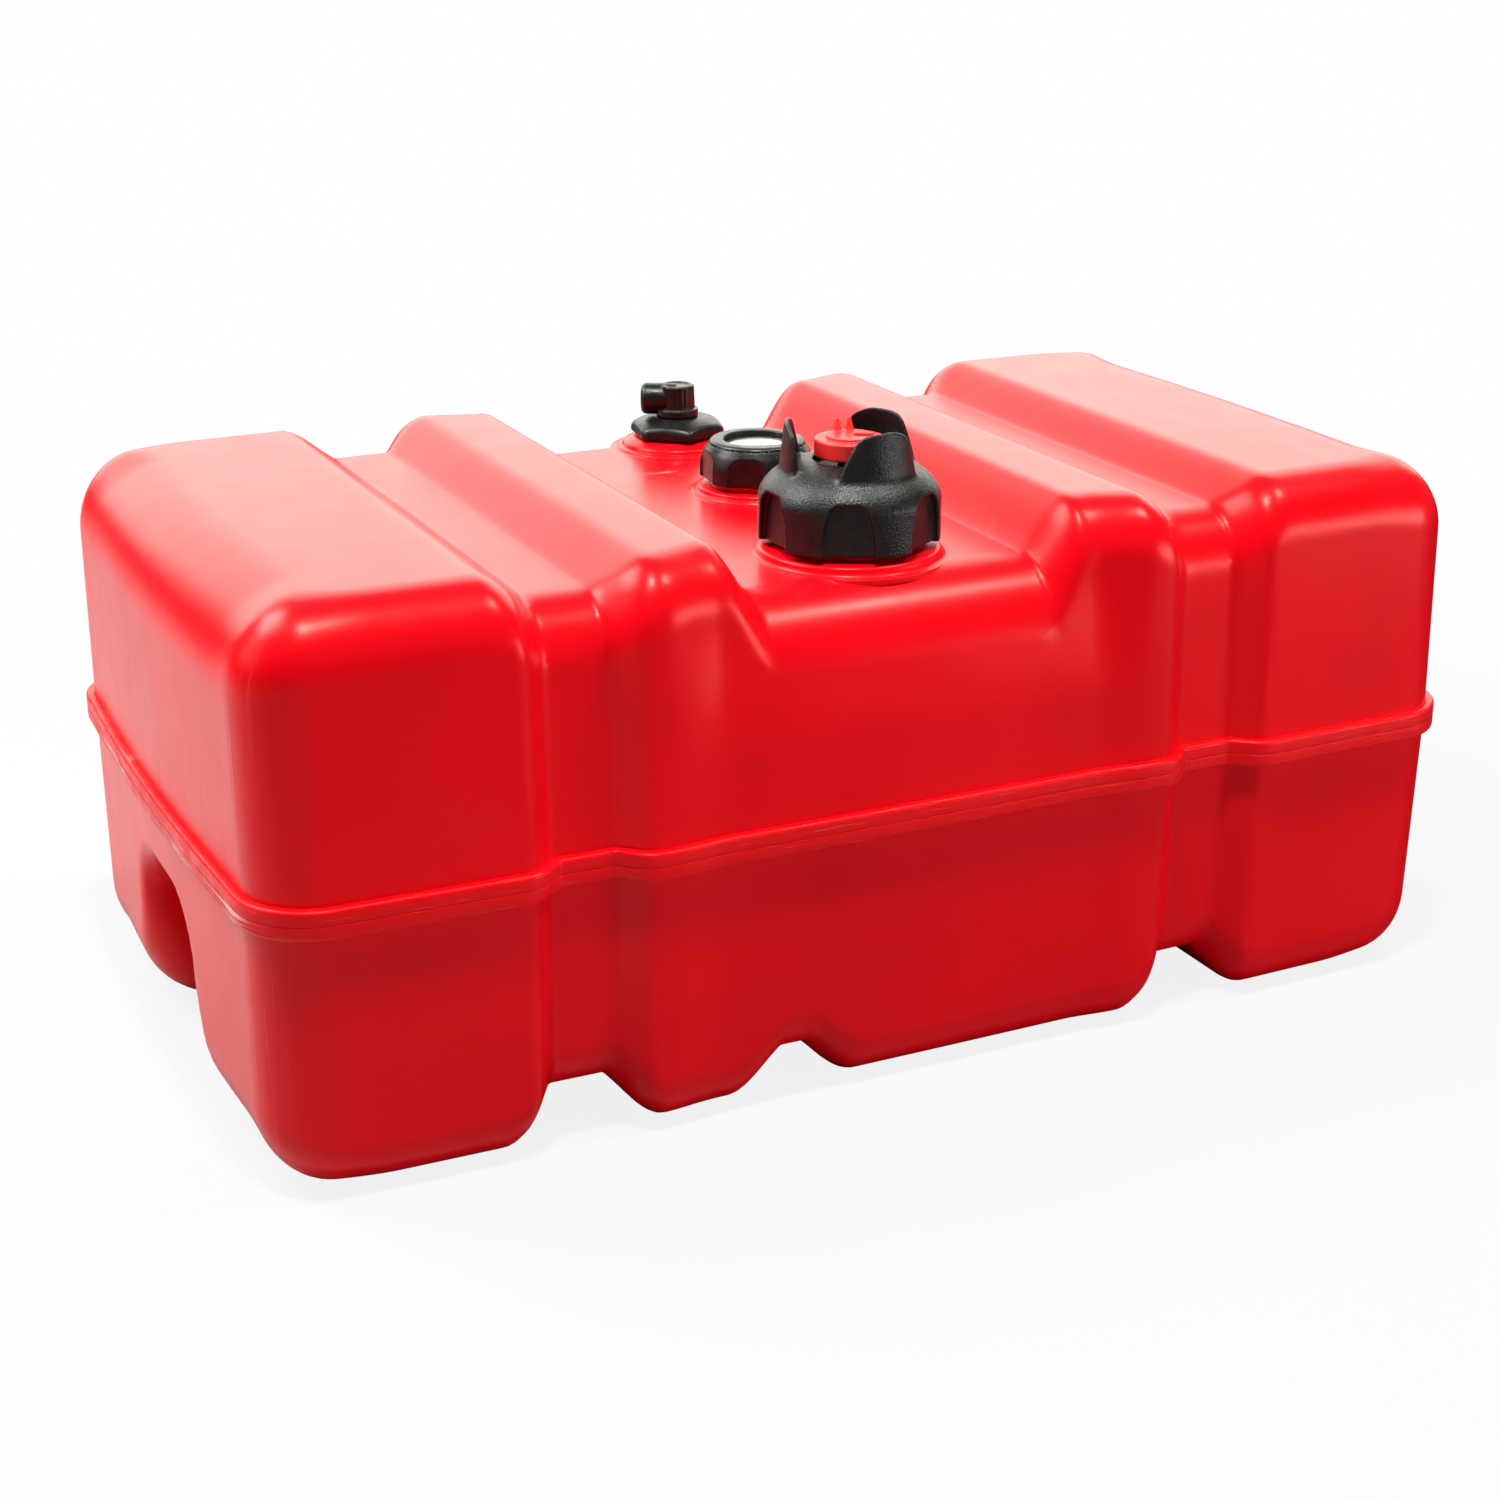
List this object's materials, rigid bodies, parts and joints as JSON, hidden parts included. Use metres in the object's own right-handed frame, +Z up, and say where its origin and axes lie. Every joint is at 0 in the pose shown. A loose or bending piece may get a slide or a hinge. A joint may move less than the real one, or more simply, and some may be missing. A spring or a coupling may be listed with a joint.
{
  "type": "outboard fuel tank",
  "caption": "Portable moulded fuel tank with strap grooves, hand holds, a vented filler cap, a float gauge and a swivelling pickup elbow.",
  "frame": {"origin": "middle of the underside, on the surface that the tank stands on", "axes": "+X along the tank's length, +Z up, -Y towards its front, where the filler cap is"},
  "size_m": [0.644, 0.3634, 0.3095],
  "materials": {
    "tank_red": "satin blow-moulded polyethylene",
    "black_plastic": "fine-grained black moulding",
    "button_red": "satin red moulding",
    "rubber": "matt black rubber",
    "spring_steel": "bright spring steel",
    "clear_lens": "clear moulded window",
    "dial_face": "pale printed disc",
    "pointer_red": "painted needle",
    "rod_metal": "drawn rod",
    "strip_metal": "rolled strip",
    "float_foam": "closed-cell float",
    "tube_plastic": "natural polyethylene tube"
  },
  "bodies": {
    "tank": {"tank_shell": "tank_red", "gauge_head": "black_plastic", "gauge_gasket": "rubber", "gauge_dial": "dial_face", "gauge_lens": "clear_lens", "guide_rods": "rod_metal", "gauge_foot": "black_plastic", "pickup_nut": "black_plastic", "pickup_gasket": "rubber", "pickup_stem": "black_plastic", "dip_tube": "tube_plastic", "strainer": "tube_plastic"},
    "cap_seal": {"cap_gasket": "rubber"},
    "cap": {"filler_cap": "black_plastic", "cap_core": "black_plastic", "vent_spring": "spring_steel"},
    "release_button": {"vent_button": "button_red", "vent_seal": "rubber", "vent_push_nut": "spring_steel"},
    "gauge_slip": {"lens_seal": "rubber"},
    "gauge_nut": {"gauge_ring": "black_plastic"},
    "float": {"gauge_float": "float_foam"},
    "spindle": {"twisted_strip": "strip_metal", "gauge_pointer": "pointer_red"},
    "elbow": {"pickup_elbow": "black_plastic", "pickup_o_ring": "rubber"}
  },
  "joints": [
    {"name": "cap_lift", "type": "slide", "parent": "tank", "child": "cap_seal", "axis": [0, 0, 1], "range_m": [0, 0.0105]},
    {"name": "cap_turn", "type": "hinge", "parent": "cap_seal", "child": "cap", "pos_m": [-0.0008, -0.10075, 0.276], "axis": [0, 0, 1], "range_deg": [0, 630]},
    {"name": "vent_press", "type": "slide", "parent": "cap", "child": "release_button", "axis": [0, 0, -1], "range_m": [0, 0.0025], "stiffness_N_per_m": 600, "springref_m": -0.003, "deforming": ["vent_spring"]},
    {"name": "gauge_nut_lift", "type": "slide", "parent": "tank", "child": "gauge_slip", "axis": [0, 0, 1], "range_m": [0, 0.008]},
    {"name": "gauge_nut_turn", "type": "hinge", "parent": "gauge_slip", "child": "gauge_nut", "pos_m": [0.01, 0.022, 0.26], "axis": [0, 0, 1], "range_deg": [0, 720]},
    {"name": "float_rise", "type": "slide", "parent": "tank", "child": "float", "axis": [0, 0, 1], "range_m": [0, 0.195]},
    {"name": "pointer_turn", "type": "hinge", "parent": "tank", "child": "spindle", "pos_m": [0.01, 0.022, 0.014], "axis": [0, 0, 1], "range_deg": [-240, 0]},
    {"name": "elbow_swivel", "type": "hinge", "parent": "tank", "child": "elbow", "pos_m": [0.012, 0.12705, 0.263], "axis": [0, 0, 1], "continuous": true}
  ],
  "couplings": [
    {"joint": "cap_lift", "follows": "cap_turn", "m_per_rad": 0.00095493},
    {"joint": "gauge_nut_lift", "follows": "gauge_nut_turn", "m_per_rad": 0.00063662},
    {"joint": "pointer_turn", "follows": "float_rise", "rad_per_m": -21.481}
  ]
}
